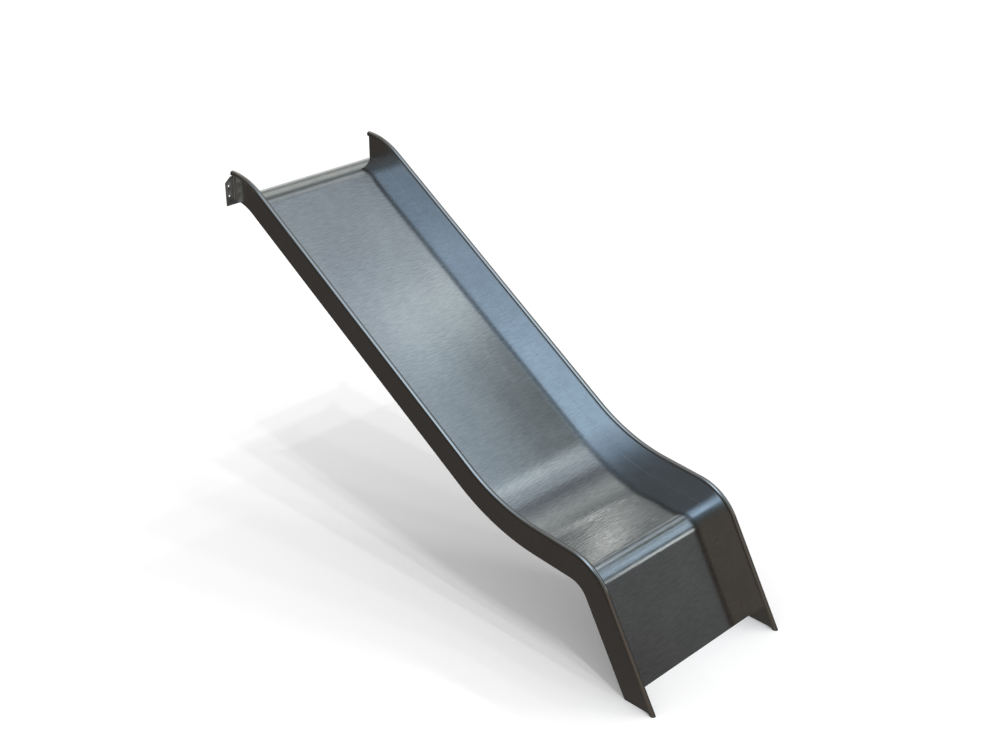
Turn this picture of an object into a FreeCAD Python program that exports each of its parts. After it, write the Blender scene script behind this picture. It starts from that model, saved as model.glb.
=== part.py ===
import FreeCAD, Part
import math
import os
import Sketcher

# A wide stainless steel slide with one bent chute: a straight slope, a hollow bend, a nearly level
# run-out and a steep exit apron.  Two side cheeks follow the bed and each carries a round rim tube.
# Millimetres.  +X runs down the slide, +Z is up, and the slide is symmetric about Y = 0.
# The origin is below the middle of the slide, at the height of the cut foot.

DIMENSIONS = {
    # side profile of the underside of the bed
    "back_x": -1581.7,
    "start_height": 1836.0,
    "start_flat": 8.0,
    "start_radius": 290.0,
    "slope_angle": 32.6,
    "slope_radius": 1165.0,
    "runout_angle": 4.4,
    "runout_end_x": 1010.3,
    "runout_end_height": 541.0,
    "exit_radius": 140.0,
    "exit_angle": 60.0,
    # sheets and tubes
    "chute_width": 1000.0,
    "bed_thickness": 2.5,
    "cheek_thickness": 3.0,
    "cheek_lap": 4.0,
    "rim_height": 150.0,
    "rim_diameter": 30.0,
    "rim_wall": 2.0,
    "cap_thickness": 2.0,
    "foot_overrun": 40.0,
    # bolted top fixing
    "flange_thickness": 6.0,
    "flange_depth": 31.0,
    "flange_reach": 54.0,
    "flange_return": 35.0,
    "flange_side_height": 103.0,
    "flange_chamfer": 37.0,
    "flange_hole_diameter": 12.0,
    "flange_hole_offset": 33.0,
    "lower_hole_height": 25.0,
    "hole_spacing": 58.0,
    "start_angle_leg": 30.0,
    "start_angle_thickness": 3.0,
    # cross ribs under the bed
    "rib_width": 44.0,
    "rib_depth": 35.0,
    "rib_splay": 5.0,
    "rib_thickness": 2.5,
    "rib_length": 890.0,
    # foot
    "foot_bar_width": 50.0,
    "foot_bar_thickness": 6.0,
    "foot_bar_length": 880.0,
    "foot_hole_diameter": 14.0,
    "foot_hole_offset": 28.0,
    "foot_hole_spacing": 700.0,
    "gusset_thickness": 5.0,
    "gusset_width": 40.0,
    "gusset_spacing": 400.0,
}

# how far down each straight stretch its ribs are welded
SLOPE_RIBS = (170.0, 640.0, 1110.0, 1580.0)
RUNOUT_RIBS = (240.0, 40.0)
EXIT_RIBS = (110.0,)

SIDES = (("left", 1), ("right", -1))
SKETCH_ORIGIN = (-1, 1)
HORIZONTAL_AXIS = -1
START = 1
END = 2
CENTRE = 3
SIDE_PLANE = "XZ_Plane"
CROSS_PLANE = "YZ_Plane"
GROUND_PLANE = "XY_Plane"


class Size:
    """A number together with the formula that gives it from the sheet."""

    def __init__(self, number, text=None):
        self.number = float(number)
        self.text = text or repr(float(number))

    def join(self, other, sign, number):
        return Size(number, f"({self.text} {sign} {other.text})")

    def __add__(self, other):
        other = as_size(other)
        return self.join(other, "+", self.number + other.number)

    def __sub__(self, other):
        other = as_size(other)
        return self.join(other, "-", self.number - other.number)

    def __mul__(self, other):
        other = as_size(other)
        return self.join(other, "*", self.number * other.number)

    def __truediv__(self, other):
        other = as_size(other)
        return self.join(other, "/", self.number / other.number)

    def __neg__(self):
        return as_size(0) - self


def as_size(value):
    return value if isinstance(value, Size) else Size(value)


def sine(angle):
    return Size(math.sin(math.radians(angle.number)), f"sin({angle.text})")


def cosine(angle):
    return Size(math.cos(math.radians(angle.number)), f"cos({angle.text})")


class Sheet:
    """The driving dimensions, each an attribute that reads its cell."""

    def __init__(self, doc):
        sheet = doc.addObject("Spreadsheet::Sheet", "Dimensions")
        for row, (alias, number) in enumerate(DIMENSIONS.items(), start=1):
            sheet.set(f"A{row}", str(number))
            sheet.setAlias(f"A{row}", alias)
        doc.recompute()
        for alias in DIMENSIONS:
            setattr(self, alias, Size(sheet.get(alias), f"Dimensions.{alias}"))


def bind(thing, path, size):
    thing.setExpression(path, as_size(size).text)


# ---- sketches ----

def new_body(doc, label):
    body = doc.addObject("PartDesign::Body", label)
    body.Label = label
    return body


def new_sketch(body, role, depth=None):
    sketch = body.newObject("Sketcher::SketchObject", body.Label + "_sketch")
    plane = next(feature for feature in body.Origin.OriginFeatures if feature.Role == role)
    sketch.AttachmentSupport = [(plane, "")]
    sketch.MapMode = "FlatFace"
    if depth is not None:
        sketch.AttachmentOffset = FreeCAD.Placement(FreeCAD.Vector(0, 0, depth.number), FreeCAD.Rotation())
        bind(sketch, "AttachmentOffset.Base.z", depth)
    return sketch


def dimension(sketch, kind, references, size):
    index = sketch.addConstraint(Sketcher.Constraint(kind, *references, size.number))
    bind(sketch, f"Constraints[{index}]", size)


def pin(sketch, point, across, up):
    """Fixes a point of the sketch by its distances from the origin."""
    for kind, size in (("DistanceX", as_size(across)), ("DistanceY", as_size(up))):
        if size.number < 0:
            dimension(sketch, kind, (*point, *SKETCH_ORIGIN), -size)
        else:
            dimension(sketch, kind, (*SKETCH_ORIGIN, *point), size)


def vector(across, up):
    return FreeCAD.Vector(as_size(across).number, as_size(up).number, 0)


def add_polygon(sketch, corners):
    """Draws a closed outline whose corners are pairs of sizes."""
    first = sketch.GeometryCount
    count = len(corners)
    for index in range(count):
        start = vector(*corners[index])
        end = vector(*corners[(index + 1) % count])
        sketch.addGeometry(Part.LineSegment(start, end), False)
    for index in range(count):
        following = first + (index + 1) % count
        sketch.addConstraint(Sketcher.Constraint("Coincident", first + index, END, following, START))
    for index, corner in enumerate(corners):
        pin(sketch, (first + index, START), *corner)


def add_circle(sketch, centre, diameter):
    circle = Part.Circle(vector(*centre), FreeCAD.Vector(0, 0, 1), diameter.number / 2)
    index = sketch.addGeometry(circle, False)
    pin(sketch, (index, CENTRE), *centre)
    dimension(sketch, "Diameter", (index,), diameter)


def add_arc(sketch, centre, radius, first_degrees, last_degrees):
    circle = Part.Circle(vector(*centre), FreeCAD.Vector(0, 0, 1), radius.number)
    first = math.radians(first_degrees)
    last = math.radians(last_degrees)
    return sketch.addGeometry(Part.ArcOfCircle(circle, first, last), False)


def hollow_bend_centre(d, start_centre, exit_centre):
    """The centre that lies one slope radius above both the slope and the run-out."""
    slope = math.radians(d.slope_angle.number)
    runout = math.radians(d.runout_angle.number)
    slope_reach = (start_centre[0].number * math.sin(slope) + start_centre[1].number * math.cos(slope)
                   + d.start_radius.number + d.slope_radius.number)
    runout_reach = (exit_centre[0].number * math.sin(runout) + exit_centre[1].number * math.cos(runout)
                    + d.exit_radius.number + d.slope_radius.number)
    turn = math.sin(slope - runout)
    across = (slope_reach * math.cos(runout) - runout_reach * math.cos(slope)) / turn
    up = (runout_reach * math.sin(slope) - slope_reach * math.sin(runout)) / turn
    return across, up


def add_run(sketch, d, offset, overrun=0.0):
    """Draws the side profile parallel to the underside of the bed, offset above it.

    The first line is the start flat, the last one the exit, which ends at the ground or an overrun
    below it.  Returns the index of the first and the last line.
    """
    offset = as_size(offset)
    overrun = as_size(overrun)
    start_radius = d.start_radius + offset
    slope_radius = d.slope_radius - offset
    exit_radius = d.exit_radius + offset
    start_centre = (d.back_x + d.start_flat, d.start_height - d.start_radius)
    exit_centre = (d.runout_end_x - d.exit_radius * sine(d.runout_angle),
                   d.runout_end_height - d.exit_radius * cosine(d.runout_angle))
    hollow_centre = hollow_bend_centre(d, start_centre, exit_centre)

    def around(centre, radius, angle):
        """The point of a bend where the surface has sloped down by the angle."""
        return (as_size(centre[0]) + radius * sine(angle), as_size(centre[1]) + radius * cosine(angle))

    start_point = (d.back_x, d.start_height + offset)
    flat_end = (d.back_x + d.start_flat, d.start_height + offset)
    slope_top = around(start_centre, start_radius, d.slope_angle)
    slope_foot = around(hollow_centre, -slope_radius, d.slope_angle)
    runout_top = around(hollow_centre, -slope_radius, d.runout_angle)
    runout_end = (d.runout_end_x + offset * sine(d.runout_angle),
                  d.runout_end_height + offset * cosine(d.runout_angle))
    exit_top = around(exit_centre, exit_radius, d.exit_angle)
    exit_drop = exit_top[1] + overrun
    exit_foot = (exit_top[0] + exit_drop * cosine(d.exit_angle) / sine(d.exit_angle), -overrun)

    slope_degrees = d.slope_angle.number
    runout_degrees = d.runout_angle.number
    exit_degrees = d.exit_angle.number
    flat = sketch.addGeometry(Part.LineSegment(vector(*start_point), vector(*flat_end)), False)
    start_bend = add_arc(sketch, start_centre, start_radius, 90 - slope_degrees, 90)
    slope = sketch.addGeometry(Part.LineSegment(vector(*slope_top), vector(*slope_foot)), False)
    hollow = add_arc(sketch, hollow_centre, slope_radius, 270 - slope_degrees, 270 - runout_degrees)
    runout = sketch.addGeometry(Part.LineSegment(vector(*runout_top), vector(*runout_end)), False)
    exit_bend = add_arc(sketch, exit_centre, exit_radius, 90 - exit_degrees, 90 - runout_degrees)
    leaving = sketch.addGeometry(Part.LineSegment(vector(*exit_top), vector(*exit_foot)), False)

    joints = (
        (flat, END, start_bend, END),
        (start_bend, START, slope, START),
        (slope, END, hollow, START),
        (hollow, END, runout, START),
        (runout, END, exit_bend, END),
        (exit_bend, START, leaving, START),
    )
    for joint in joints:
        sketch.addConstraint(Sketcher.Constraint("Tangent", *joint))
    sketch.addConstraint(Sketcher.Constraint("Horizontal", flat))
    pin(sketch, (flat, START), *start_point)
    dimension(sketch, "DistanceX", (flat, START, flat, END), d.start_flat)
    dimension(sketch, "Radius", (start_bend,), start_radius)
    dimension(sketch, "Radius", (hollow,), slope_radius)
    dimension(sketch, "Radius", (exit_bend,), exit_radius)
    dimension(sketch, "Angle", (slope,), -d.slope_angle)
    dimension(sketch, "Angle", (runout,), -d.runout_angle)
    dimension(sketch, "Angle", (leaving,), -d.exit_angle)
    pin(sketch, (runout, END), *runout_end)
    if overrun.number:
        dimension(sketch, "DistanceY", (leaving, END, *SKETCH_ORIGIN), overrun)
    else:
        sketch.addConstraint(Sketcher.Constraint("PointOnObject", leaving, END, HORIZONTAL_AXIS))
    return flat, leaving


def add_band(sketch, d, low, high):
    """Draws a closed band of the side profile between two offsets."""
    low_flat, low_exit = add_run(sketch, d, low)
    high_flat, high_exit = add_run(sketch, d, high)
    for first, last, end in ((low_flat, high_flat, START), (low_exit, high_exit, END)):
        line = Part.LineSegment(sketch.getPoint(first, end), sketch.getPoint(last, end))
        edge = sketch.addGeometry(line, False)
        sketch.addConstraint(Sketcher.Constraint("Coincident", edge, START, first, end))
        sketch.addConstraint(Sketcher.Constraint("Coincident", edge, END, last, end))


# ---- features ----

def pad(body, sketch, length, both_ways=True):
    feature = body.newObject("PartDesign::Pad", body.Label + "_pad")
    feature.Profile = sketch
    feature.Midplane = both_ways
    bind(feature, "Length", length)
    return feature


def drill(doc, body, sketch, diameter):
    """Bores the sketch's circles right through the body."""
    doc.recompute()
    before = body.Shape.Volume
    feature = body.newObject("PartDesign::Hole", body.Label + "_hole")
    feature.Profile = sketch
    feature.DepthType = "ThroughAll"
    bind(feature, "Diameter", diameter)
    doc.recompute()
    check_cut(body, before)


def cut(doc, body, sketch):
    """Cuts the sketch's outline right through the body, against the sketch's normal."""
    doc.recompute()
    before = body.Shape.Volume
    feature = body.newObject("PartDesign::Pocket", body.Label + "_pocket")
    feature.Profile = sketch
    feature.Type = "ThroughAll"
    doc.recompute()
    check_cut(body, before)


def check_cut(body, before):
    if body.Shape.Volume >= before - 1e-3:
        raise RuntimeError(f"{body.Label}: the cut removes nothing")


def place(thing, across=0, sideways=0, up=0, axis=(0, 1, 0), angle=None):
    """Moves a sub-part, and turns it about the axis, both as formulas of the sheet."""
    base = [as_size(value) for value in (across, sideways, up)]
    turn = as_size(angle or 0)
    position = FreeCAD.Vector(*[size.number for size in base])
    rotation = FreeCAD.Rotation(FreeCAD.Vector(*axis), turn.number)
    thing.Placement = FreeCAD.Placement(position, rotation)
    for name, size in zip("xyz", base):
        if size.number:
            bind(thing, f"Placement.Base.{name}", size)
    if turn.number:
        bind(thing, "Placement.Rotation.Angle", turn)


# ---- sub-parts ----

def make_bed(doc, d):
    body = new_body(doc, "chute_bed")
    sketch = new_sketch(body, SIDE_PLANE)
    add_band(sketch, d, 0.0, d.bed_thickness)
    pad(body, sketch, d.chute_width - d.cheek_thickness * 2)
    return body


def rim_seat(d):
    """How far above the bed's underside a cheek's top edge meets its rim tube."""
    return d.rim_height - d.rim_diameter / 2


def cheek_plane(d, sign):
    return (d.chute_width - d.cheek_thickness) / 2 * sign


def make_cheek(doc, d, side, sign):
    """A side plate that laps below the bed, so that the bed is welded along the inside of it."""
    body = new_body(doc, side + "_cheek")
    sketch = new_sketch(body, SIDE_PLANE)
    add_band(sketch, d, -d.cheek_lap, rim_seat(d))
    pad(body, sketch, d.cheek_thickness)
    place(body, sideways=cheek_plane(d, sign))
    return body


def make_rim_tube(doc, d, side, sign):
    body = new_body(doc, side + "_rim_tube")
    path = new_sketch(body, SIDE_PLANE)
    add_run(path, d, d.rim_height, d.foot_overrun)
    section = new_sketch(body, CROSS_PLANE, d.back_x)
    centre = (Size(0), d.start_height + d.rim_height)
    add_circle(section, centre, d.rim_diameter)
    add_circle(section, centre, d.rim_diameter - d.rim_wall * 2)
    pipe = body.newObject("PartDesign::AdditivePipe", body.Label + "_pipe")
    pipe.Profile = section
    pipe.Spine = path
    trim = new_sketch(body, GROUND_PLANE)
    half = d.rim_diameter
    add_polygon(trim, [
        (d.runout_end_x, -half),
        (d.runout_end_x - d.back_x, -half),
        (d.runout_end_x - d.back_x, half),
        (d.runout_end_x, half),
    ])
    cut(doc, body, trim)
    place(body, sideways=cheek_plane(d, sign))
    return body


def make_rim_top_cap(doc, d, side, sign):
    cap = doc.addObject("Part::Cylinder", side + "_rim_top_cap")
    bind(cap, "Radius", d.rim_diameter / 2 - d.rim_wall)
    bind(cap, "Height", d.cap_thickness)
    place(cap, d.back_x, cheek_plane(d, sign), d.start_height + d.rim_height, angle=Size(90))
    return cap


def foot_point(d, offset):
    """Where the exit apron's profile, at an offset above its underside, crosses the ground."""
    bend_across = d.exit_radius * (sine(d.exit_angle) - sine(d.runout_angle))
    bend_down = d.exit_radius * (cosine(d.runout_angle) - cosine(d.exit_angle))
    straight_across = (d.runout_end_height - bend_down) * cosine(d.exit_angle) / sine(d.exit_angle)
    return d.runout_end_x + bend_across + straight_across + as_size(offset) / sine(d.exit_angle)


def make_rim_foot_cap(doc, d, side, sign):
    """A flat oval plate that closes the tube where it is cut level with the ground."""
    core = doc.addObject("Part::Cylinder", side + "_rim_foot_core")
    bind(core, "Radius", d.rim_diameter / 2 - d.rim_wall)
    bind(core, "Height", d.foot_overrun * 2)
    foot = foot_point(d, d.rim_height)
    place(core,
          foot - d.foot_overrun * cosine(d.exit_angle), cheek_plane(d, sign),
          d.foot_overrun * sine(d.exit_angle), angle=d.exit_angle + 90)
    slab = doc.addObject("Part::Box", side + "_rim_foot_slab")
    bind(slab, "Length", d.foot_overrun * 2)
    bind(slab, "Width", d.foot_overrun * 2)
    bind(slab, "Height", d.cap_thickness)
    place(slab, foot - d.foot_overrun, cheek_plane(d, sign) - d.foot_overrun)
    cap = doc.addObject("Part::Common", side + "_rim_foot_cap")
    cap.Base = core
    cap.Tool = slab
    return cap


def make_mounting_flange(doc, d, side, sign):
    """The ear that bolts to the platform, with a return under the cheek and the edge of the bed."""
    body = new_body(doc, side + "_mounting_flange")
    half = d.chute_width / 2
    underside = d.start_height
    bottom = underside - d.flange_depth
    top = underside + rim_seat(d)
    outer = half + d.flange_reach
    outline = new_sketch(body, CROSS_PLANE, d.back_x)
    add_polygon(outline, [
        ((half - d.flange_return) * sign, bottom),
        (outer * sign, bottom),
        (outer * sign, underside + d.flange_side_height),
        ((outer - d.flange_chamfer) * sign, top),
        (half * sign, top),
        (half * sign, underside - d.cheek_lap),
        ((half - d.cheek_thickness) * sign, underside - d.cheek_lap),
        ((half - d.cheek_thickness) * sign, underside),
        ((half - d.flange_return) * sign, underside),
    ])
    pad(body, outline, d.flange_thickness, both_ways=False)
    holes = new_sketch(body, CROSS_PLANE, d.back_x + d.flange_thickness)
    for step in range(2):
        height = underside + d.lower_hole_height + d.hole_spacing * step
        add_circle(holes, ((half + d.flange_hole_offset) * sign, height), d.flange_hole_diameter)
    drill(doc, body, holes, d.flange_hole_diameter)
    return body


def make_start_angle(doc, d):
    """The folded angle that carries the bed's start edge between the two flanges."""
    body = new_body(doc, "start_cross_angle")
    sketch = new_sketch(body, SIDE_PLANE)
    top = d.start_height
    bottom = top - d.flange_depth
    back = d.back_x
    thick = d.start_angle_thickness
    add_polygon(sketch, [
        (back, bottom),
        (back + d.start_angle_leg, bottom),
        (back + d.start_angle_leg, bottom + thick),
        (back + thick, bottom + thick),
        (back + thick, top),
        (back, top),
    ])
    pad(body, sketch, d.chute_width - d.flange_return * 2)
    return body


def make_rib(doc, d, name, across, up, angle):
    """A folded channel, open towards the bed, welded across its underside."""
    body = new_body(doc, name)
    sketch = new_sketch(body, SIDE_PLANE)
    half = d.rib_width / 2
    inner = half - d.rib_thickness
    splay = d.rib_splay
    add_polygon(sketch, [
        (-half, 0),
        (splay - half, -d.rib_depth),
        (half - splay, -d.rib_depth),
        (half, 0),
        (inner, 0),
        (inner - splay, d.rib_thickness - d.rib_depth),
        (splay - inner, d.rib_thickness - d.rib_depth),
        (-inner, 0),
    ])
    pad(body, sketch, d.rib_length)
    place(body, across, 0, up, angle=angle)
    return body


def make_ribs(doc, d):
    slope_across = d.back_x + d.start_flat + d.start_radius * sine(d.slope_angle)
    slope_up = d.start_height - d.start_radius * (as_size(1) - cosine(d.slope_angle))
    exit_across = d.runout_end_x + d.exit_radius * (sine(d.exit_angle) - sine(d.runout_angle))
    exit_up = d.runout_end_height - d.exit_radius * (cosine(d.runout_angle) - cosine(d.exit_angle))
    ribs = []
    for number, way in enumerate(SLOPE_RIBS, start=1):
        across = slope_across + cosine(d.slope_angle) * way
        up = slope_up - sine(d.slope_angle) * way
        ribs.append(make_rib(doc, d, f"slope_rib_{number}", across, up, d.slope_angle))
    for number, way in enumerate(RUNOUT_RIBS, start=1):
        across = d.runout_end_x - cosine(d.runout_angle) * way
        up = d.runout_end_height + sine(d.runout_angle) * way
        ribs.append(make_rib(doc, d, f"runout_rib_{number}", across, up, d.runout_angle))
    for number, way in enumerate(EXIT_RIBS, start=1):
        across = exit_across + cosine(d.exit_angle) * way
        up = exit_up - sine(d.exit_angle) * way
        ribs.append(make_rib(doc, d, f"exit_rib_{number}", across, up, d.exit_angle))
    return ribs


def lean(d, height):
    """How far behind its foot the exit apron's underside is at a height."""
    return as_size(height) * cosine(d.exit_angle) / sine(d.exit_angle)


def make_foot_bar(doc, d):
    """The flat bar behind the foot of the apron, drilled for two ground anchors."""
    body = new_body(doc, "foot_bar")
    foot = foot_point(d, 0)
    outline = new_sketch(body, SIDE_PLANE)
    add_polygon(outline, [
        (foot - d.foot_bar_width, 0),
        (foot, 0),
        (foot - lean(d, d.foot_bar_thickness), d.foot_bar_thickness),
        (foot - d.foot_bar_width, d.foot_bar_thickness),
    ])
    pad(body, outline, d.foot_bar_length)
    holes = new_sketch(body, GROUND_PLANE, d.foot_bar_thickness)
    for _, sign in SIDES:
        add_circle(holes, (foot - d.foot_hole_offset, d.foot_hole_spacing / 2 * sign), d.foot_hole_diameter)
    drill(doc, body, holes, d.foot_hole_diameter)
    return body


def make_foot_gusset(doc, d, side, sign):
    """An upright plate between the foot bar and the apron."""
    body = new_body(doc, side + "_foot_gusset")
    foot = foot_point(d, 0)
    sketch = new_sketch(body, SIDE_PLANE)
    base = d.foot_bar_thickness
    rise = d.gusset_width * sine(d.exit_angle) / cosine(d.exit_angle)
    add_polygon(sketch, [
        (foot - lean(d, base) - d.gusset_width, base),
        (foot - lean(d, base), base),
        (foot - lean(d, base) - d.gusset_width, base + rise),
    ])
    pad(body, sketch, d.gusset_thickness)
    place(body, sideways=d.gusset_spacing / 2 * sign)
    return body


def main():
    doc = FreeCAD.newDocument("wave_slide")
    d = Sheet(doc)
    pieces = [make_bed(doc, d), make_start_angle(doc, d)]
    for side, sign in SIDES:
        pieces.append(make_cheek(doc, d, side, sign))
        pieces.append(make_rim_tube(doc, d, side, sign))
        pieces.append(make_rim_top_cap(doc, d, side, sign))
        pieces.append(make_rim_foot_cap(doc, d, side, sign))
        pieces.append(make_mounting_flange(doc, d, side, sign))
        pieces.append(make_foot_gusset(doc, d, side, sign))
    pieces.extend(make_ribs(doc, d))
    pieces.append(make_foot_bar(doc, d))
    doc.recompute()

    for thing in doc.Objects:
        if "Invalid" in thing.State or "Error" in thing.State:
            raise RuntimeError(f"{thing.Label} failed: {thing.State}")
    for piece in pieces:
        if piece.Shape.isNull() or not piece.Shape.isValid() or len(piece.Shape.Solids) != 1:
            raise RuntimeError(f"{piece.Label} isn't one valid solid")
    os.makedirs("parts", exist_ok=True)
    for piece in pieces:
        piece.Shape.exportStep(f"parts/{piece.Label}.step")
        box = piece.Shape.BoundBox
        print(f"{piece.Label}: {piece.Shape.Volume / 1000:.1f} cm3, "
              f"x {box.XMin:.1f} to {box.XMax:.1f}, z {box.ZMin:.1f} to {box.ZMax:.1f}")


main()
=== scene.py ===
import math

import bmesh
import bpy
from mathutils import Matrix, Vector


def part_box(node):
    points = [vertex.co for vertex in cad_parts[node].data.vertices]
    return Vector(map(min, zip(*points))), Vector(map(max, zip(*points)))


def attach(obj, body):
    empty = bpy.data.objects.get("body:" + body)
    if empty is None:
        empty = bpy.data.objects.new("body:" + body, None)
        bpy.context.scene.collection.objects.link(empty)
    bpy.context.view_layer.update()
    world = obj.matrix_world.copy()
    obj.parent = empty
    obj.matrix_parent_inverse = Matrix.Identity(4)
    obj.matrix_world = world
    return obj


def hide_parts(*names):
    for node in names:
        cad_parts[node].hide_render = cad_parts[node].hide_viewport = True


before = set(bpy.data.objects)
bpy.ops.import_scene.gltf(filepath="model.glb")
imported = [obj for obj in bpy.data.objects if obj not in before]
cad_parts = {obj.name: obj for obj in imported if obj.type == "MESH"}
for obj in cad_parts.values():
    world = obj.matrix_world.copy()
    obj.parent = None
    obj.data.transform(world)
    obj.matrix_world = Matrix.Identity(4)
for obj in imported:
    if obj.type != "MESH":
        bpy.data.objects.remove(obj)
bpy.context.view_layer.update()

# Driving dimensions of the side profile, in metres and degrees, as in the CAD model.
SLOPE_ANGLE = 32.6
RUNOUT_ANGLE = 4.4
EXIT_ANGLE = 60.0
START_FLAT = 0.008
START_RADIUS = 0.290
SLOPE_RADIUS = 1.165
EXIT_RADIUS = 0.140
RUNOUT_END_HEIGHT = 0.541
BED_THICKNESS = 0.0025
CHEEK_THICKNESS = 0.003
CHEEK_LAP = 0.004
RIM_HEIGHT = 0.150
RIM_WALL = 0.002

# Spacing of the stations on the profile: degrees round a bend, metres along a straight.
BEND_STEP = 1.0
STRAIGHT_STEP = 0.03

# Radii of the eased edges and of the folds, in metres.
BED_EDGE = 0.0003
CHEEK_EDGE = 0.0004
SHEET_EDGE = 0.0005
PLATE_EDGE = 0.001
FOLD_OUTSIDE = 0.0045
FOLD_INSIDE = 0.002

# What counts as one flat face, a sharp edge or a fold, in degrees and metres.
MERGE_DISTANCE = 0.00001
FLAT_LIMIT = 2.0
SHARP_LIMIT = 40.0
FOLD_LEAST_LENGTH = 0.5
FOLD_LEAST_WIDTH = 0.008

# Edges up to these angles are shaded smoothly, in degrees.
SMOOTH_LIMIT = 35.0
BEAD_SMOOTH_LIMIT = 50.0

# Welds, in metres.
CORNER_WELD = 0.0015
BEAD_SIZE = 0.0035
BEAD_LENGTH = 0.040
BEAD_SPACING = 0.150
BEAD_RIPPLE = 0.004

# A bead's rings in each ripple, the power of the curve that tapers it and, as shares of its size, how
# deep its ripples are, how thick its ends are and how far it sinks into the corner.
RINGS_PER_RIPPLE = 4
TAPER_POWER = 6
RIPPLE_DEPTH = 0.10
BEAD_END = 0.25
BEAD_SUNK = 0.05

# Camera: it looks at a point of the slide's middle plane. Lens and sensor are in millimetres.
CAMERA_AZIMUTH = 45.0
CAMERA_ELEVATION = 26.747
CAMERA_DISTANCE = 8.322
CAMERA_TARGET = Vector((0.022, 0.0, 1.1235))
CAMERA_LENS = 55.95
CAMERA_SENSOR = 36.0
CAMERA_REACH = 1000.0


# ---- side profile ----

bed_low, bed_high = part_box("chute_bed")
back_x = bed_low.x
start_height = bed_high.z - BED_THICKNESS
rim_low, rim_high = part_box("right_rim_tube")
rim_radius = (rim_high.y - rim_low.y) / 2
half_width = -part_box("right_cheek")[0].y
rim_y = half_width - CHEEK_THICKNESS / 2


def down_slope(angle):
    """Sine and cosine of an angle below the horizontal."""
    turn = math.radians(angle)
    return math.sin(turn), math.cos(turn)


def bend_centres():
    """Centres of the start bend, the hollow bend and the exit bend, as (x, z)."""
    slope_sin, slope_cos = down_slope(SLOPE_ANGLE)
    runout_sin, runout_cos = down_slope(RUNOUT_ANGLE)
    exit_sin, exit_cos = down_slope(EXIT_ANGLE)
    start = (back_x + START_FLAT, start_height - START_RADIUS)
    exit_z = RUNOUT_END_HEIGHT - EXIT_RADIUS * runout_cos
    foot_x = bed_high.x - BED_THICKNESS / exit_sin
    exit_x = (foot_x * exit_sin - EXIT_RADIUS - exit_z * exit_cos) / exit_sin
    slope_reach = start[0] * slope_sin + start[1] * slope_cos + START_RADIUS + SLOPE_RADIUS
    runout_reach = exit_x * runout_sin + exit_z * runout_cos + EXIT_RADIUS + SLOPE_RADIUS
    turn = math.sin(math.radians(SLOPE_ANGLE - RUNOUT_ANGLE))
    hollow_x = (slope_reach * runout_cos - runout_reach * slope_cos) / turn
    hollow_z = (runout_reach * slope_sin - slope_reach * runout_sin) / turn
    return start, (hollow_x, hollow_z), (exit_x, exit_z)


START_CENTRE, HOLLOW_CENTRE, EXIT_CENTRE = bend_centres()


class Station:
    """A place on the underside of the bed, with its slope."""

    def __init__(self, x, z, angle):
        self.x = x
        self.z = z
        self.sin, self.cos = down_slope(angle)

    def at(self, y, height):
        """A point at the height above the bed's underside, square to it."""
        return Vector((self.x + height * self.sin, y, self.z + height * self.cos))

    def on_ground(self, y, height):
        """The same point slid along the exit line to the ground."""
        point = self.at(y, height)
        reach = point.z / self.sin
        return Vector((point.x + reach * self.cos, y, 0.0))


def bend_points(centre, radius, first, last):
    """Points of a bend between two slopes; a negative radius bends upwards."""
    count = math.ceil(abs(last - first) / BEND_STEP)
    points = []
    for step in range(count + 1):
        angle = first + (last - first) * step / count
        sin, cos = down_slope(angle)
        points.append((centre[0] + radius * sin, centre[1] + radius * cos, angle))
    return points


def make_stations():
    """Stations from the start to the foot, with further ones along the straights."""
    exit_sin = down_slope(EXIT_ANGLE)[0]
    places = [(back_x, start_height, 0.0)]
    places += bend_points(START_CENTRE, START_RADIUS, 0.0, SLOPE_ANGLE)
    places += bend_points(HOLLOW_CENTRE, -SLOPE_RADIUS, SLOPE_ANGLE, RUNOUT_ANGLE)
    places += bend_points(EXIT_CENTRE, EXIT_RADIUS, RUNOUT_ANGLE, EXIT_ANGLE)
    places.append((bed_high.x - BED_THICKNESS / exit_sin, 0.0, EXIT_ANGLE))
    stations = [Station(*places[0])]
    for (last_x, last_z, _), (x, z, angle) in zip(places, places[1:]):
        length = math.hypot(x - last_x, z - last_z)
        count = max(1, round(length / STRAIGHT_STEP))
        for step in range(1, count):
            part = step / count
            stations.append(Station(last_x + (x - last_x) * part, last_z + (z - last_z) * part, angle))
        stations.append(Station(x, z, angle))
    return stations


STATIONS = make_stations()


# ---- meshes ----

def add_object(name, data):
    """Puts a mesh, a light or a camera into the scene."""
    thing = bpy.data.objects.new(name, data)
    bpy.context.scene.collection.objects.link(thing)
    return thing


def new_piece(name, mesh_data, replaced=()):
    """Turns a bmesh into a piece that rides on the one rigid body."""
    mesh = bpy.data.meshes.new(name)
    bmesh.ops.recalc_face_normals(mesh_data, faces=mesh_data.faces)
    mesh_data.to_mesh(mesh)
    mesh_data.free()
    piece = add_object(name, mesh)
    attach(piece, "root")
    if replaced:
        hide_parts(*replaced)
    return piece


def smooth(piece, degrees=SMOOTH_LIMIT):
    """Shades the piece smoothly except over edges sharper than the angle."""
    limit = math.radians(degrees)
    data = bmesh.new()
    data.from_mesh(piece.data)
    for face in data.faces:
        face.smooth = True
    for edge in data.edges:
        sharp = len(edge.link_faces) != 2 or edge.calc_face_angle(0.0) > limit
        edge.smooth = not sharp
    data.to_mesh(piece.data)
    data.free()


def add_ring_faces(data, ring, following):
    """Joins two rings of the same number of vertices with a band of faces."""
    count = len(ring)
    for index in range(count):
        nearby = (index + 1) % count
        data.faces.new((ring[index], ring[nearby], following[nearby], following[index]))


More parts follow.
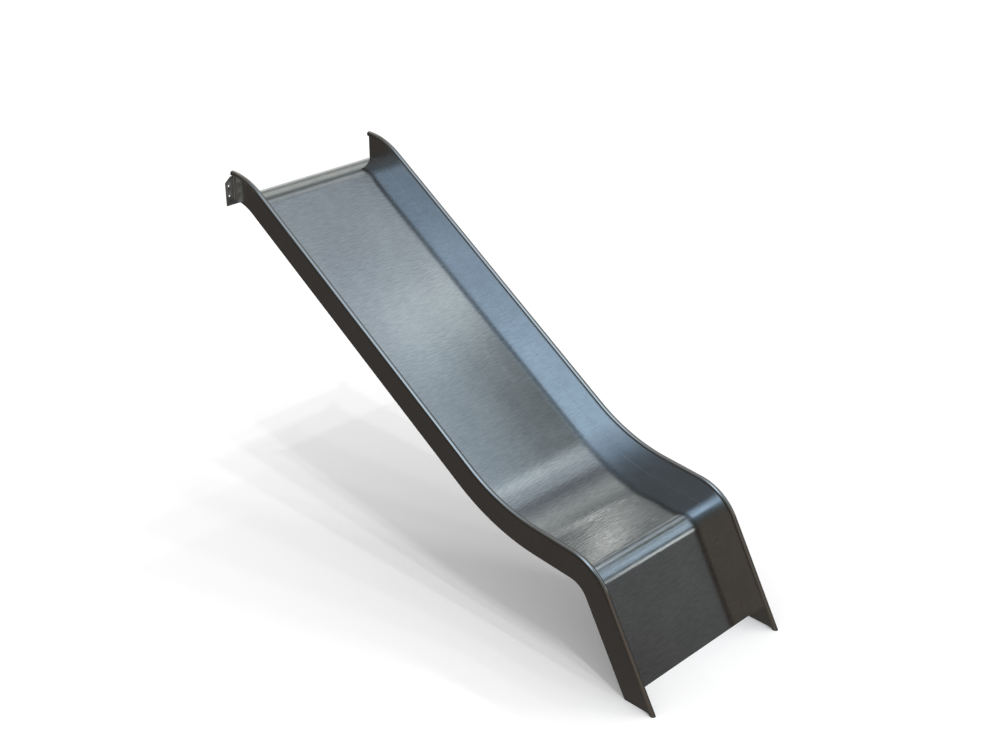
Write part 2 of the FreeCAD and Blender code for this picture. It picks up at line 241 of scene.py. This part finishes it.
def sweep(data, section, capped=True):
    """Sweeps a closed section of (y, height) points along the whole profile, cut level at the foot."""
    rings = []
    for number, station in enumerate(STATIONS):
        place = station.on_ground if number == len(STATIONS) - 1 else station.at
        rings.append([data.verts.new(place(y, height)) for y, height in section])
    for ring, following in zip(rings, rings[1:]):
        add_ring_faces(data, ring, following)
    if capped:
        data.faces.new(rings[0])
        data.faces.new(rings[-1])
    return rings


def rounded_box_section(y_low, y_high, low, high, radius, steps=3, hold_share=0.7):
    """Corner-rounded rectangle as (y, height) points.

    A further point just beyond each end of a rounding, at a share of its radius, keeps the flats flat
    in smooth shading.
    """
    corners = (
        (y_high - radius, high - radius, 0),
        (y_low + radius, high - radius, 90),
        (y_low + radius, low + radius, 180),
        (y_high - radius, low + radius, 270),
    )
    hold = radius * hold_share
    points = []
    for y, height, first in corners:
        start = math.radians(first)
        end = math.radians(first + 90)
        points.append((y + radius * math.cos(start) + hold * math.sin(start),
                       height + radius * math.sin(start) - hold * math.cos(start)))
        for step in range(steps + 1):
            turn = start + (end - start) * step / steps
            points.append((y + radius * math.cos(turn), height + radius * math.sin(turn)))
        points.append((y + radius * math.cos(end) - hold * math.sin(end),
                       height + radius * math.sin(end) + hold * math.cos(end)))
    return points


def circle_section(y, height, radius, count=40):
    """A circle as (y, height) points."""
    turns = [math.tau * step / count for step in range(count)]
    return [(y + radius * math.cos(turn), height + radius * math.sin(turn)) for turn in turns]


def build_bed():
    inner = half_width - CHEEK_THICKNESS
    data = bmesh.new()
    sweep(data, rounded_box_section(-inner, inner, 0.0, BED_THICKNESS, BED_EDGE))
    piece = new_piece("bed_sheet", data, ["chute_bed"])
    smooth(piece)
    return piece


def build_cheek(side, sign):
    outer = half_width * sign
    inner = (half_width - CHEEK_THICKNESS) * sign
    low, high = min(outer, inner), max(outer, inner)
    data = bmesh.new()
    sweep(data, rounded_box_section(low, high, -CHEEK_LAP, RIM_HEIGHT - rim_radius, CHEEK_EDGE))
    piece = new_piece(f"{side}_side_cheek", data, [f"{side}_cheek"])
    smooth(piece)
    return piece


def build_corner_weld(side, sign, steps=4):
    """The ground weld in the corner between the bed and a cheek, with a hollow face."""
    corner = (half_width - CHEEK_THICKNESS) * sign
    section = [(corner, BED_THICKNESS)]
    for step in range(steps + 1):
        turn = math.radians(90.0 * step / steps)
        inwards = CORNER_WELD * sign * (1 - math.sin(turn))
        upwards = CORNER_WELD * (1 - math.cos(turn))
        section.append((corner - inwards, BED_THICKNESS + upwards))
    data = bmesh.new()
    sweep(data, section)
    piece = new_piece(f"{side}_corner_weld", data)
    smooth(piece)
    return piece


def build_rim(side, sign):
    """The open tube along the top of a cheek; its end caps are pieces of their own."""
    data = bmesh.new()
    outer = sweep(data, circle_section(rim_y * sign, RIM_HEIGHT, rim_radius), capped=False)
    inner = sweep(data, circle_section(rim_y * sign, RIM_HEIGHT, rim_radius - RIM_WALL), capped=False)
    for end in (0, -1):
        add_ring_faces(data, outer[end], inner[end])
    piece = new_piece(f"{side}_rim_pipe", data, [f"{side}_rim_tube"])
    smooth(piece)
    return piece


# ---- brackets, ribs and welds ----

def is_sharp(edge):
    return len(edge.link_faces) == 2 and edge.calc_face_angle(0.0) > math.radians(SHARP_LIMIT)


def is_fold(edge, convex):
    """Whether a sharp edge is long and has wide faces on both sides, as a fold in sheet has."""
    length = edge.calc_length()
    if not is_sharp(edge) or edge.is_convex != convex or length <= FOLD_LEAST_LENGTH:
        return False
    return all(face.calc_area() / length > FOLD_LEAST_WIDTH for face in edge.link_faces)


def round_edges(data, edges, radius, segments):
    bmesh.ops.bevel(data, geom=edges, offset=radius, offset_type="OFFSET", segments=segments,
                    profile=0.5, affect="EDGES", clamp_overlap=True)


def soften(node, edge_radius, folded=False):
    """A bracket with its sheared edges eased and, where it is folded from sheet, with real bend radii."""
    data = bmesh.new()
    data.from_mesh(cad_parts[node].data)
    bmesh.ops.remove_doubles(data, verts=data.verts, dist=MERGE_DISTANCE)
    bmesh.ops.dissolve_limit(data, angle_limit=math.radians(FLAT_LIMIT), verts=data.verts, edges=data.edges)
    if folded:
        for radius, convex in ((FOLD_OUTSIDE, True), (FOLD_INSIDE, False)):
            folds = [edge for edge in data.edges if is_fold(edge, convex)]
            round_edges(data, folds, radius, segments=5)
    sharp = [edge for edge in data.edges if is_sharp(edge)]
    round_edges(data, sharp, edge_radius, segments=2)
    piece = new_piece(f"{node}_shape", data, [node])
    smooth(piece)
    return piece


def add_bead(data, first, last, one_way, other_way):
    """A rippled weld bead between two points, in the corner between two plates.

    The two ways run from the corner along the two plates, square to the bead.
    """
    length = (last - first).length
    count = round(length / BEAD_RIPPLE * RINGS_PER_RIPPLE)
    sunk = (one_way + other_way) * (BEAD_SIZE * BEAD_SUNK)
    rings = []
    for step in range(count + 1):
        part = step / count
        fullness = (1 - abs(2 * part - 1) ** TAPER_POWER) ** 0.5
        ripple = 1 + RIPPLE_DEPTH * math.cos(math.tau * length * part / BEAD_RIPPLE)
        reach = BEAD_SIZE * ripple * (BEAD_END + (1 - BEAD_END) * fullness)
        centre = first.lerp(last, part) - sunk
        ring = [data.verts.new(centre)]
        for degrees in (0.0, 30.0, 60.0, 90.0):
            turn = math.radians(degrees)
            way = one_way * math.cos(turn) + other_way * math.sin(turn)
            ring.append(data.verts.new(centre + way * reach))
        rings.append(ring)
    for ring, following in zip(rings, rings[1:]):
        add_ring_faces(data, ring, following)
    data.faces.new(rings[0])
    data.faces.new(rings[-1])


def add_stitches(data, width, corner, one_way, other_way):
    """Evenly spaced beads across the slide, along a corner given at the middle plane."""
    count = int((width - BEAD_LENGTH) // BEAD_SPACING)
    for number in range(count + 1):
        middle = (number - count / 2) * BEAD_SPACING
        start, end = [corner + Vector((0.0, middle + BEAD_LENGTH * half, 0.0)) for half in (-0.5, 0.5)]
        add_bead(data, start, end, one_way, other_way)


def weld_piece(name, data):
    piece = new_piece(name, data)
    smooth(piece, BEAD_SMOOTH_LIMIT)
    return piece


def nearest_station(x, z):
    return min(STATIONS, key=lambda station: math.hypot(station.x - x, station.z - z))


def build_rib_welds(node, contact=0.001):
    """Stitch welds along both legs of a rib; the rib touches the bed within the contact distance."""
    low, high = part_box(node)
    station = nearest_station((low.x + high.x) / 2, (low.z + high.z) / 2)
    along = Vector((station.cos, 0.0, -station.sin))
    down = Vector((-station.sin, 0.0, -station.cos))
    corners = [vertex.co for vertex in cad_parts[node].data.vertices]
    touching = min(corner.dot(down) for corner in corners)
    feet = [corner.dot(along) for corner in corners if corner.dot(down) < touching + contact]
    data = bmesh.new()
    for foot, outwards in ((min(feet), -along), (max(feet), along)):
        add_stitches(data, high.y - low.y, along * foot + down * touching, outwards, down)
    return weld_piece(f"{node}_welds", data)


def build_flange_weld(side, sign):
    """The weld between a mounting flange and the outside of its cheek."""
    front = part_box(f"{side}_mounting_flange")[1].x
    foot = Vector((front, half_width * sign, start_height))
    head = Vector((front, half_width * sign, start_height + RIM_HEIGHT - rim_radius))
    data = bmesh.new()
    add_bead(data, foot, head, Vector((1.0, 0.0, 0.0)), Vector((0.0, sign, 0.0)))
    return weld_piece(f"{side}_flange_weld", data)


def build_foot_welds():
    """Stitch welds between the foot bar and the back of the apron."""
    low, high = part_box("foot_bar")
    exit_sin, exit_cos = down_slope(EXIT_ANGLE)
    up_apron = Vector((-exit_cos, 0.0, exit_sin))
    back = Vector((-1.0, 0.0, 0.0))
    top = Vector((high.x - high.z * exit_cos / exit_sin, 0.0, high.z))
    data = bmesh.new()
    add_stitches(data, high.y - low.y, top, back, up_apron)
    return weld_piece("foot_bar_welds", data)


# ---- materials ----

# Stains: their cycles per metre along X, Y and Z, how strongly each darkens red, green and blue, and how
# far the roughness swings with them.
STAIN_SCALE = (2.6, 3.4, 2.6)
STAIN_TINT = (1.0, 0.97, 0.92)
ROUGHNESS_SWING = 0.02

# The way that highlights stretch, as a share of a full turn from the tangent that runs along the slide.
STRETCH_TURN = 0.25


def add_node(tree, kind, **values):
    """Adds a shader node and sets its properties and its unlinked inputs."""
    node = tree.nodes.new(kind)
    for name, value in values.items():
        if hasattr(node, name):
            setattr(node, name, value)
        else:
            node.inputs[name.replace("_", " ")].default_value = value
    return node


def stretched_noise(tree, scale, detail, roughness):
    """A noise whose grain is stretched differently along X, Y and Z, in cycles per metre."""
    place = add_node(tree, "ShaderNodeTexCoord")
    mapping = add_node(tree, "ShaderNodeMapping")
    mapping.inputs["Scale"].default_value = scale
    noise = add_node(tree, "ShaderNodeTexNoise", Scale=1.0, Detail=detail, Roughness=roughness)
    tree.links.new(place.outputs["Object"], mapping.inputs["Vector"])
    tree.links.new(mapping.outputs["Vector"], noise.inputs["Vector"])
    return noise.outputs["Fac"]


def ranged(tree, source, low, high, from_low=0.3, from_high=0.7):
    """Maps a range of the source, by default the middle of a noise, to low and high."""
    node = add_node(tree, "ShaderNodeMapRange")
    node.inputs["From Min"].default_value = from_low
    node.inputs["From Max"].default_value = from_high
    node.inputs["To Min"].default_value = low
    node.inputs["To Max"].default_value = high
    tree.links.new(source, node.inputs["Value"])
    return node.outputs["Result"]


def steel(name, colour, roughness, strokes_at, strokes_deep, stains, stretch=0.0):
    """Stainless steel with fine brush strokes, faint stains and, on brushed sheet, stretched highlights.

    The strokes are in cycles per metre along X, Y and Z, and their depth is in metres.
    """
    material = bpy.data.materials.new(name)
    material.use_nodes = True
    tree = material.node_tree
    tree.nodes.clear()
    output = add_node(tree, "ShaderNodeOutputMaterial")
    shader = add_node(tree, "ShaderNodeBsdfPrincipled", Metallic=1.0, Anisotropic=stretch)
    strokes = stretched_noise(tree, strokes_at, detail=2.0, roughness=0.6)
    clouds = stretched_noise(tree, STAIN_SCALE, detail=3.0, roughness=0.55)

    tint = add_node(tree, "ShaderNodeMix", data_type="RGBA")
    darker = [channel * (1 - stains * share) for channel, share in zip(colour, STAIN_TINT)]
    tint.inputs["A"].default_value = (*darker, 1.0)
    tint.inputs["B"].default_value = (*colour, 1.0)
    shade = add_node(tree, "ShaderNodeMath", operation="ADD")
    tree.links.new(ranged(tree, clouds, 0.0, 0.5), shade.inputs[0])
    tree.links.new(ranged(tree, strokes, 0.0, 0.5, from_low=0.35, from_high=0.65), shade.inputs[1])
    tree.links.new(shade.outputs[0], tint.inputs["Factor"])
    tree.links.new(tint.outputs["Result"], shader.inputs["Base Color"])

    uneven = ranged(tree, clouds, roughness - ROUGHNESS_SWING, roughness + ROUGHNESS_SWING)
    tree.links.new(uneven, shader.inputs["Roughness"])
    if stretch:
        along = add_node(tree, "ShaderNodeTangent", direction_type="RADIAL", axis="Y")
        tree.links.new(along.outputs["Tangent"], shader.inputs["Tangent"])
        shader.inputs["Anisotropic Rotation"].default_value = STRETCH_TURN

    bump = add_node(tree, "ShaderNodeBump", Strength=1.0, Distance=strokes_deep)
    tree.links.new(strokes, bump.inputs["Height"])
    tree.links.new(bump.outputs["Normal"], shader.inputs["Normal"])
    tree.links.new(shader.outputs["BSDF"], output.inputs["Surface"])
    return material


def paint(piece, material):
    piece.data.materials.append(material)


# ---- stage ----

# Half the floor's width in metres, its colour, and the spread of each distant light in degrees.
FLOOR_HALF = 400.0
FLOOR_COLOUR = (0.9, 0.9, 0.9, 1.0)
LIGHT_SPREAD = 1.6


def build_floor():
    """A matt floor so large that its edge is never seen; the steel doesn't mirror it."""
    data = bmesh.new()
    corners = [(FLOOR_HALF * x, FLOOR_HALF * y) for x, y in ((-1, -1), (1, -1), (1, 1), (-1, 1))]
    data.faces.new([data.verts.new((x, y, 0.0)) for x, y in corners])
    mesh = bpy.data.meshes.new("studio_floor")
    data.to_mesh(mesh)
    data.free()
    floor = add_object("studio_floor", mesh)
    material = bpy.data.materials.new("studio_floor")
    material.use_nodes = True
    shader = material.node_tree.nodes["Principled BSDF"]
    shader.inputs["Base Color"].default_value = FLOOR_COLOUR
    shader.inputs["Roughness"].default_value = 1.0
    shader.inputs["Specular IOR Level"].default_value = 0.0
    mesh.materials.append(material)
    floor.visible_glossy = False


def add_light(name, direction, strength):
    """A distant studio light that shines on the slide from a direction."""
    lamp = bpy.data.lights.new(name, "SUN")
    lamp.angle = math.radians(LIGHT_SPREAD)
    lamp.energy = strength
    light = add_object(name, lamp)
    light.rotation_mode = "QUATERNION"
    light.rotation_quaternion = Vector(direction).normalized().to_track_quat("Z", "Y")
    light.visible_glossy = False


# Each light's name, the direction that it shines from, and its strength.
STUDIO_LIGHTS = (
    ("top_light_1", (0.42, -0.25, 1.0), 0.22),
    ("top_light_2", (0.34, -0.10, 1.0), 0.22),
    ("top_light_3", (0.11, -0.17, 1.0), 0.22),
    ("top_light_4", (0.24, 0.02, 1.0), 0.22),
    ("side_light_1", (0.27, 0.67, 1.0), 0.10),
    ("side_light_2", (0.11, 0.70, 1.0), 0.10),
    ("side_light_3", (-0.15, 0.66, 1.0), 0.10),
    ("side_light_4", (0.20, 0.22, 1.0), 0.10),
    ("side_light_5", (0.04, 0.40, 1.0), 0.10),
    ("front_light", (-0.75, -0.60, 1.0), 0.08),
    ("back_light", (-1.30, -0.30, 1.0), 0.08),
)


def display(red, green, blue):
    """Turns a colour as seen on a screen, 0 to 255, into a linear one."""
    return [((channel / 255 + 0.055) / 1.055) ** 2.4 for channel in (red, green, blue)]


def turn_share(degrees):
    """A direction round the tent, from -180 to 180 degrees, as a share from 0 to 1."""
    return (degrees + 180.0) / 360.0


def strips(tree, turn, stops, gain):
    """Strips of light along the tent, brighter by the gain than the colour they give the steel."""
    ramp = add_node(tree, "ShaderNodeValToRGB")
    ramp.color_ramp.interpolation = "LINEAR"
    elements = ramp.color_ramp.elements
    while len(elements) > 1:
        elements.remove(elements[-1])
    for number, (degrees, colour) in enumerate(stops):
        position = turn_share(degrees)
        element = elements[0] if number == 0 else elements.new(position)
        element.position = position
        element.color = (*[channel * gain for channel in display(*colour)], 1.0)
    tree.links.new(turn, ramp.inputs["Fac"])
    return ramp.outputs["Color"]


def step_up(tree, source, low, high):
    """Rises smoothly from 0 to 1 between two values of the source."""
    node = add_node(tree, "ShaderNodeMapRange", interpolation_type="SMOOTHSTEP")
    node.inputs["From Min"].default_value = low
    node.inputs["From Max"].default_value = high
    tree.links.new(source, node.inputs["Value"])
    return node.outputs["Result"]


def blend(tree, share, first, second):
    """Mixes two colours, each a value or another node's output."""
    node = add_node(tree, "ShaderNodeMix", data_type="RGBA")
    for value, socket in ((share, "Factor"), (first, "A"), (second, "B")):
        if isinstance(value, tuple):
            node.inputs[socket].default_value = value
        else:
            tree.links.new(value, node.inputs[socket])
    return node.outputs["Result"]


# The tent lies along Y. Its centre is an (x, z) place, and the lengths are in metres.
TENT_RADIUS = 9.5
TENT_CENTRE = (0.5, 2.0)
TENT_HALF = 40.0
TENT_SIDES = 72

# Where along Y the right half turns into the left one, which is towards +Y, where the left one's near
# strips turn into its far strips, and how far out, on both sides, the tent goes dark.
MIDDLE = (-2.0, 2.0)
NEAR_TO_FAR = (6.9, 7.9)
DARK_END = (12.0, 18.0)

# How much brighter the strips are than the colour that the steel shows where it mirrors them.
LEFT_GAIN = 1.75
RIGHT_GAIN = 2.5

# Strips of light: degrees round the tent, from +X up towards +Z, and about the colour, from 0 to 255,
# that the steel shows there. Between two stops the colour changes evenly.
FLOOR_TONE = (120, 119, 115)
LEFT_NEAR = (
    (-180, (58, 56, 53)),
    (-112, (58, 56, 53)),
    (-92, FLOOR_TONE),
    (-70, FLOOR_TONE),
    (-55, (60, 58, 55)),
    (0, (70, 70, 68)),
    (30, (115, 120, 125)),
    (60, (140, 152, 160)),
    (92, (156, 166, 174)),
    (96, (142, 150, 156)),
    (108, (140, 148, 153)),
    (111, (124, 131, 136)),
    (119, (156, 160, 160)),
    (122, (140, 145, 145)),
    (125, (98, 102, 103)),
    (130, (90, 94, 94)),
    (137, (160, 163, 160)),
    (146, (160, 162, 158)),
    (149, (122, 124, 120)),
    (157, (130, 131, 128)),
    (159, (205, 206, 203)),
    (163, (205, 206, 203)),
    (166, (120, 120, 118)),
    (180, (58, 56, 53)),
)
LEFT_FAR = (
    (-180, (58, 56, 53)),
    (-112, (58, 56, 53)),
    (-92, FLOOR_TONE),
    (-70, FLOOR_TONE),
    (-55, (58, 57, 54)),
    (4, (78, 79, 78)),
    (9, (84, 87, 86)),
    (12, (196, 200, 198)),
    (17, (194, 198, 196)),
    (25, (94, 104, 110)),
    (30, (94, 106, 113)),
    (34, (136, 152, 163)),
    (44, (152, 168, 180)),
    (54, (150, 165, 176)),
    (58, (134, 148, 157)),
    (80, (140, 152, 159)),
    (86, (150, 162, 168)),
    (88, (184, 194, 197)),
    (92, (182, 191, 194)),
    (94, (142, 150, 156)),
    (101, (142, 150, 155)),
    (102, (92, 96, 101)),
    (106, (92, 96, 100)),
    (115, (140, 144, 143)),
    (120, (140, 144, 142)),
    (124, (114, 117, 117)),
    (132, (100, 103, 103)),
    (150, (120, 121, 118)),
    (180, (58, 56, 53)),
)
RIGHT = (
    (-180, (44, 41, 38)),
    (-112, (44, 41, 38)),
    (-92, FLOOR_TONE),
    (-38, FLOOR_TONE),
    (-18, (60, 55, 49)),
    (0, (80, 73, 66)),
    (35, (74, 74, 69)),
    (56, (80, 93, 100)),
    (70, (170, 192, 210)),
    (80, (174, 197, 215)),
    (90, (146, 165, 182)),
    (97, (135, 151, 166)),
    (108, (94, 104, 112)),
    (118, (80, 85, 89)),
    (145, (74, 75, 74)),
    (160, (52, 50, 47)),
    (180, (44, 41, 38)),
)
TENT_DARK = (0.055, 0.052, 0.047, 1.0)

# Soft-edged patches over the left strips: where each rises and falls round the tent in degrees, the same
# along Y in metres, and its colour.
LEFT_PATCHES = (
    ((127.2, 128.9, 129.7, 131.3), (8.4, 8.8, 9.1, 9.5), (1.95, 1.96, 1.84, 1.0)),
    ((70.0, 75.0, 84.0, 89.0), (8.2, 8.9, 12.0, 14.0), (0.20, 0.22, 0.215, 1.0)),
    ((84.0, 88.0, 93.0, 97.0), (8.8, 9.2, 12.0, 14.0), (0.50, 0.56, 0.58, 1.0)),
)


def window(tree, turn, sideways, arc, reach):
    """Share of a soft-edged patch of the tent: an arc in degrees and a reach in metres."""
    edges = (
        step_up(tree, turn, turn_share(arc[0]), turn_share(arc[1])),
        step_up(tree, turn, turn_share(arc[3]), turn_share(arc[2])),
        step_up(tree, sideways, reach[0], reach[1]),
        step_up(tree, sideways, reach[3], reach[2]),
    )
    share = edges[0]
    for edge in edges[1:]:
        product = add_node(tree, "ShaderNodeMath", operation="MULTIPLY")
        tree.links.new(share, product.inputs[0])
        tree.links.new(edge, product.inputs[1])
        share = product.outputs[0]
    return share


def tent_material():
    """The tent's light, as a colour for each place round it and along Y."""
    material = bpy.data.materials.new("light_tent")
    material.use_nodes = True
    material.cycles.emission_sampling = "NONE"
    tree = material.node_tree
    tree.nodes.clear()
    place = add_node(tree, "ShaderNodeTexCoord")
    parts = add_node(tree, "ShaderNodeSeparateXYZ")
    tree.links.new(place.outputs["Object"], parts.inputs["Vector"])
    around = add_node(tree, "ShaderNodeMath", operation="ARCTAN2")
    tree.links.new(parts.outputs["Z"], around.inputs[0])
    tree.links.new(parts.outputs["X"], around.inputs[1])
    turn = ranged(tree, around.outputs[0], 0.0, 1.0, from_low=-math.pi, from_high=math.pi)
    sideways = parts.outputs["Y"]
    left_near = strips(tree, turn, LEFT_NEAR, LEFT_GAIN)
    left_far = strips(tree, turn, LEFT_FAR, LEFT_GAIN)
    left = blend(tree, step_up(tree, sideways, *NEAR_TO_FAR), left_near, left_far)
    for arc, reach, colour in LEFT_PATCHES:
        left = blend(tree, window(tree, turn, sideways, arc, reach), left, colour)
    right = strips(tree, turn, RIGHT, RIGHT_GAIN)
    both = blend(tree, step_up(tree, sideways, *MIDDLE), right, left)
    outwards = add_node(tree, "ShaderNodeMath", operation="ABSOLUTE")
    tree.links.new(sideways, outwards.inputs[0])
    whole = blend(tree, step_up(tree, outwards.outputs[0], *DARK_END), both, TENT_DARK)
    glow = add_node(tree, "ShaderNodeEmission")
    tree.links.new(whole, glow.inputs["Color"])
    output = add_node(tree, "ShaderNodeOutputMaterial")
    tree.links.new(glow.outputs["Emission"], output.inputs["Surface"])
    return material


def build_tent():
    """A long round tent of soft light strips that only the steel reflects."""
    data = bmesh.new()
    turns = [math.tau * step / TENT_SIDES for step in range(TENT_SIDES)]
    circle = [(TENT_RADIUS * math.cos(turn), TENT_RADIUS * math.sin(turn)) for turn in turns]
    ends = [[data.verts.new((x, y, z)) for x, z in circle] for y in (-TENT_HALF, TENT_HALF)]
    for end in ends:
        data.faces.new(end)
    add_ring_faces(data, *ends)
    mesh = bpy.data.meshes.new("light_tent")
    data.to_mesh(mesh)
    data.free()
    tent = add_object("light_tent", mesh)
    tent.location = (TENT_CENTRE[0], 0.0, TENT_CENTRE[1])
    for ray in ("visible_camera", "visible_diffuse", "visible_shadow", "visible_transmission"):
        setattr(tent, ray, False)
    mesh.materials.append(tent_material())


# The white surroundings as a light, and as the camera sees them.
WORLD_LIGHT = 0.80
WORLD_SEEN = 1.0


def build_world():
    world = bpy.data.worlds.new("studio")
    bpy.context.scene.world = world
    world.use_nodes = True
    tree = world.node_tree
    backdrop = tree.nodes["Background"]
    backdrop.inputs["Color"].default_value = (1.0, 1.0, 1.0, 1.0)
    rays = add_node(tree, "ShaderNodeLightPath")
    seen = rays.outputs["Is Camera Ray"]
    strength = ranged(tree, seen, WORLD_LIGHT, WORLD_SEEN, from_low=0.0, from_high=1.0)
    tree.links.new(strength, backdrop.inputs["Strength"])


def build_camera():
    lens = bpy.data.cameras.new("camera")
    lens.sensor_width = CAMERA_SENSOR
    lens.lens = CAMERA_LENS
    lens.clip_end = CAMERA_REACH
    camera = add_object("camera", lens)
    azimuth = math.radians(CAMERA_AZIMUTH)
    elevation = math.radians(CAMERA_ELEVATION)
    level = math.cos(elevation)
    back = Vector((math.sin(azimuth) * level, -math.cos(azimuth) * level, math.sin(elevation)))
    camera.location = CAMERA_TARGET + back * CAMERA_DISTANCE
    camera.rotation_mode = "QUATERNION"
    camera.rotation_quaternion = back.to_track_quat("Z", "Y")
    bpy.context.scene.camera = camera


# ---- the slide ----

BED_STEEL = steel("bed_steel", (0.62, 0.63, 0.64), roughness=0.12, strokes_at=(130, 18, 130),
                  strokes_deep=0.00022, stains=0.30, stretch=0.72)
CHEEK_STEEL = steel("cheek_steel", (0.60, 0.61, 0.62), roughness=0.19, strokes_at=(150, 150, 150),
                    strokes_deep=0.00003, stains=0.12)
RIM_STEEL = steel("rim_steel", (0.50, 0.475, 0.45), roughness=0.20, strokes_at=(150, 150, 150),
                  strokes_deep=0.00001, stains=0.06)
BRACKET_STEEL = steel("bracket_steel", (0.56, 0.57, 0.58), roughness=0.30, strokes_at=(220, 220, 220),
                      strokes_deep=0.00004, stains=0.14)

paint(build_bed(), BED_STEEL)
for side, sign in (("left", 1), ("right", -1)):
    paint(build_cheek(side, sign), CHEEK_STEEL)
    paint(build_corner_weld(side, sign), CHEEK_STEEL)
    paint(build_rim(side, sign), RIM_STEEL)
    paint(build_flange_weld(side, sign), BRACKET_STEEL)
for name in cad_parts:
    if name.endswith("_cap"):
        paint(soften(name, SHEET_EDGE), RIM_STEEL)
    elif "_rib_" in name or name == "start_cross_angle":
        paint(soften(name, SHEET_EDGE, folded=True), BRACKET_STEEL)
    elif "_flange" in name or "_gusset" in name or name == "foot_bar":
        paint(soften(name, PLATE_EDGE), BRACKET_STEEL)
    if "_rib_" in name:
        paint(build_rib_welds(name), BRACKET_STEEL)
paint(build_foot_welds(), BRACKET_STEEL)

build_floor()
build_tent()
build_world()
build_camera()
for name, direction, strength in STUDIO_LIGHTS:
    add_light(name, direction, strength)
bpy.context.scene.view_settings.view_transform = "Standard"
